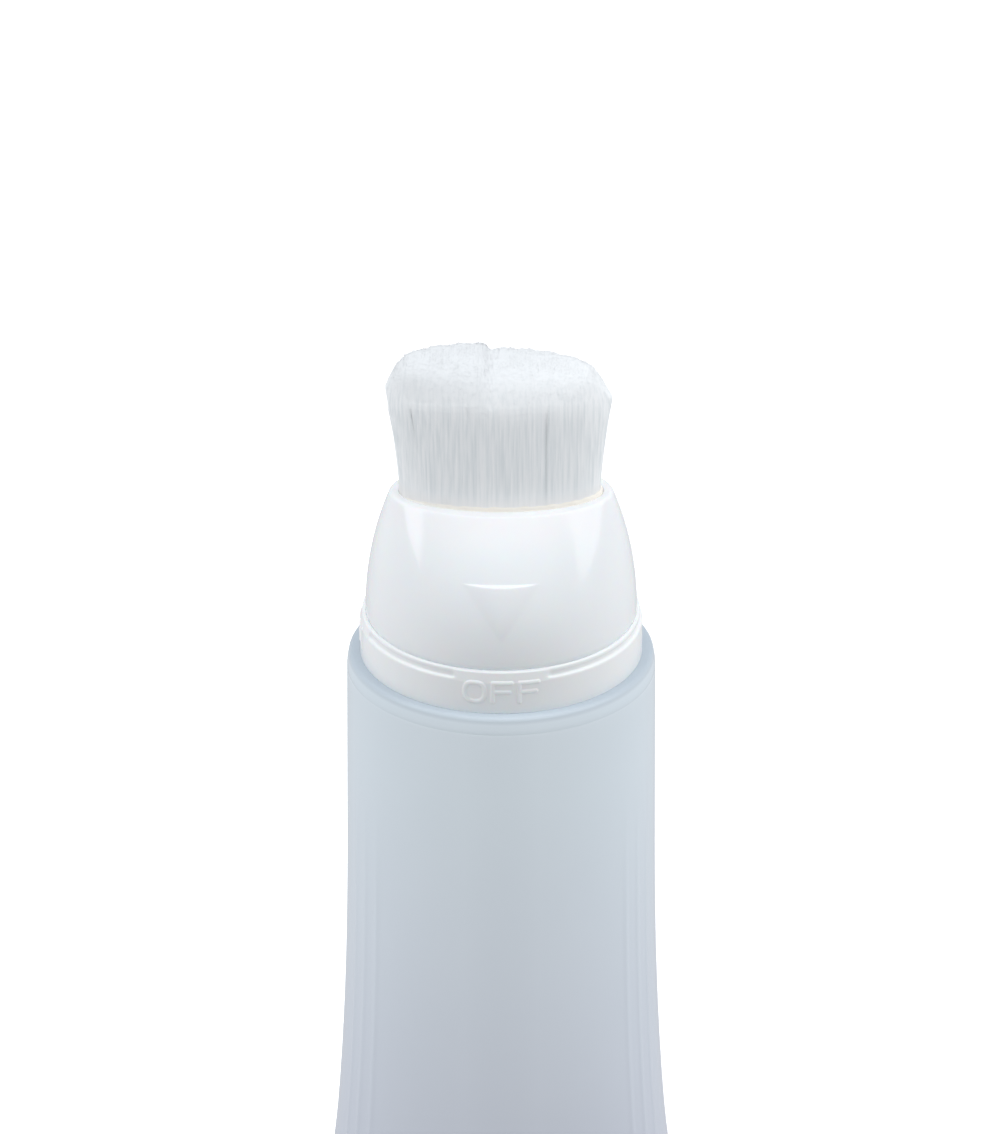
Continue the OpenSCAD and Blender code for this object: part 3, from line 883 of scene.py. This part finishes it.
def make_bristles(side, material):
    """One half of the brush: a dense core, full-length filaments round it and tips all over its top."""
    name = "left" if side < 0 else "right"
    spacing = 0.25
    points, faces, normals = core_mesh(side)
    x, y = scatter_roots(side, spacing)
    edge = (x / ROOT_X) ** 2 + (y / ROOT_Y) ** 2 > 0.8
    # Which roots, steps up the height, the fraction of it where the filament starts, and its radius
    kinds = ((edge, 6, 0.0, 0.11), (~edge, 2, 0.88, 0.1))
    for chosen, steps, start, thick in kinds:
        strands = filament_mesh(x[chosen], y[chosen], steps, start, thick, len(points))
        points = np.concatenate([points, strands[0]])
        faces += strands[1]
        normals = np.concatenate([normals, strands[2]])
    made = make_mesh("bristle_tuft_" + name, points, faces, sharp=0)
    normals /= np.linalg.norm(normals, axis=1)[:, None]
    made.data.normals_split_custom_set_from_vertices(normals.tolist())
    finish_piece(made, "brush_head", "bristle", material, "bristles_" + name)


def make_glue(material):
    """The cream glue round the bristle roots, which climbs the bristles just inside the rim."""
    around = 200
    angles = np.arange(around) * TAU / around
    wave = 0.03 * np.sin(angles * 23 + 1) + 0.03 * np.sin(angles * 41)

    def ring(inset, z):
        """An oval inside the dome's mouth."""
        x = (mouth_x - inset) * np.cos(angles)
        return np.stack([x, (mouth_y - inset) * np.sin(angles), z + 0 * angles], 1)

    gap = 0.03
    high = rim_z - 0.12
    # The bead: how far in from the mouth, how far above high, and how much of the wave
    bead = ((0.08, 0.0, 1 / 3), (0.15, 0.25, 1), (0.25, 0.55, 2), (0.36, 0.66, 2), (0.7, 0.4, 0))
    rings = [ring(gap, glue_low.z), ring(gap, high - 0.1)]
    rings += [ring(inset, high + climb + wave * share) for inset, climb, share in bead]
    rings += [ring(1.6, glue_z), ring(4.5, glue_z)]
    made = loft("glue_line", rings)
    finish_piece(made, "brush_head", "glue", material, "glue_bed")


# ---------------------------------------------------------------- putting it together
def dress_cad_nodes(materials):
    """The CAD nodes that stay, inside the object, get the finish of their slot."""
    for name, slot in {
        "neck_gasket": "gasket",
        "valve_seat": "inner_plastic",
        "face_gasket": "gasket",
        "valve_rotor": "inner_plastic",
        "rotor_o_ring": "o_ring",
        "head_carrier": "inner_plastic",
        "brush_cup": "inner_plastic",
        "feed_nozzle": "inner_plastic",
    }.items():
        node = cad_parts[name]
        for place in node.material_slots:
            place.material = materials[slot]


# ---------------------------------------------------------------- floor, world and lights
def make_floor():
    """A white floor under the tail."""
    half = 6.0 / MM  # 6 m to each side
    corners = ((-1, -1), (1, -1), (1, 1), (-1, 1))
    points = [(half * sx, half * sy, tail_z) for sx, sy in corners]
    floor = make_mesh("floor", points, [[0, 1, 2, 3]], sharp=0)
    made, tree = new_material("floor")
    shader = tree.nodes["Principled BSDF"]
    shader.inputs["Roughness"].default_value = 0.7
    shader.inputs["Emission Color"].default_value = (1, 1, 1, 1)
    shader.inputs["Emission Strength"].default_value = 0.3
    clouds = ramp(tree, noise(tree, 3), [(0.3, (0.9, 0.9, 0.905)), (0.7, (0.92, 0.92, 0.925))])
    tree.links.new(clouds, shader.inputs["Base Color"])
    floor.data.materials.append(made)
    floor.visible_diffuse = False
    floor.visible_glossy = False
    floor.visible_shadow = False


# Axis, sign, strength and power of each part of the studio's soft light
STUDIO = (
    ("Z", 1, 2.05, 3),
    ("Z", -1, 0.66, 1),
    ("X", 1, 0.7, 2),
    ("X", -1, 0.75, 2),
    ("Y", -1, 0.18, 1),
    ("Y", 1, 0.38, 1),
)


def make_world():
    """A studio that is bright overhead and at both sides, and dim in front."""
    world = bpy.data.worlds.new("studio")
    bpy.context.scene.world = world
    world.use_nodes = True
    tree = world.node_tree
    place = add(tree, "TexCoord")
    split = add(tree, "SeparateXYZ")
    tree.links.new(place.outputs["Generated"], split.inputs["Vector"])
    total = 0.0
    for axis, sign, strength, power in STUDIO:
        share = calc(tree, "MULTIPLY", split.outputs[axis], sign, clamp=True)
        share = calc(tree, "POWER", share, power)
        total = calc(tree, "MULTIPLY_ADD", share, strength, total)
    studio = tree.nodes["Background"]
    studio.inputs["Color"].default_value = (0.975, 0.99, 1.02, 1)
    tree.links.new(total, studio.inputs["Strength"])
    backdrop = add(tree, "Background")
    backdrop.inputs["Color"].default_value = (1, 1, 1, 1)
    seen = add(tree, "LightPath")
    mix = add(tree, "MixShader")
    tree.links.new(seen.outputs["Is Camera Ray"], mix.inputs["Fac"])
    tree.links.new(studio.outputs["Background"], mix.inputs[1])
    tree.links.new(backdrop.outputs["Background"], mix.inputs[2])
    tree.links.new(mix.outputs["Shader"], tree.nodes["World Output"].inputs["Surface"])


def softbox(name, azimuth, elevation, distance, size, power):
    """An area light aimed at the head. Azimuth 0 is the camera's side, and 90 is +X."""
    head = Vector((0, 0, 0.02))
    data = bpy.data.lights.new(name, "AREA")
    data.shape = "RECTANGLE"
    data.size, data.size_y = size
    data.energy = power
    light = bpy.data.objects.new(name, data)
    bpy.context.collection.objects.link(light)
    a, e = math.radians(azimuth), math.radians(elevation)
    away = Vector((math.sin(a) * math.cos(e), -math.cos(a) * math.cos(e), math.sin(e)))
    light.location = head + away * distance
    light.rotation_euler = away.to_track_quat("Z", "Y").to_euler()
    light.visible_camera = False


def make_lights():
    softbox("side_right", 84, 37, 0.9, (0.6, 0.7), 1.9)
    softbox("side_left", -80, 38, 0.9, (0.36, 0.5), 1.05)


bpy.context.scene.view_settings.view_transform = "Standard"
make_camera()
materials = make_materials()
make_sleeve(materials["frosted_tube"])
make_shoulder(materials["frosted_shoulder"])
make_collar(materials["white_collar"])
make_dome(materials["white_head"])
make_glue(materials["glue"])
for side in (-1, 1):
    make_bristles(side, materials["bristle"])
dress_cad_nodes(materials)
make_floor()
make_world()
make_lights()
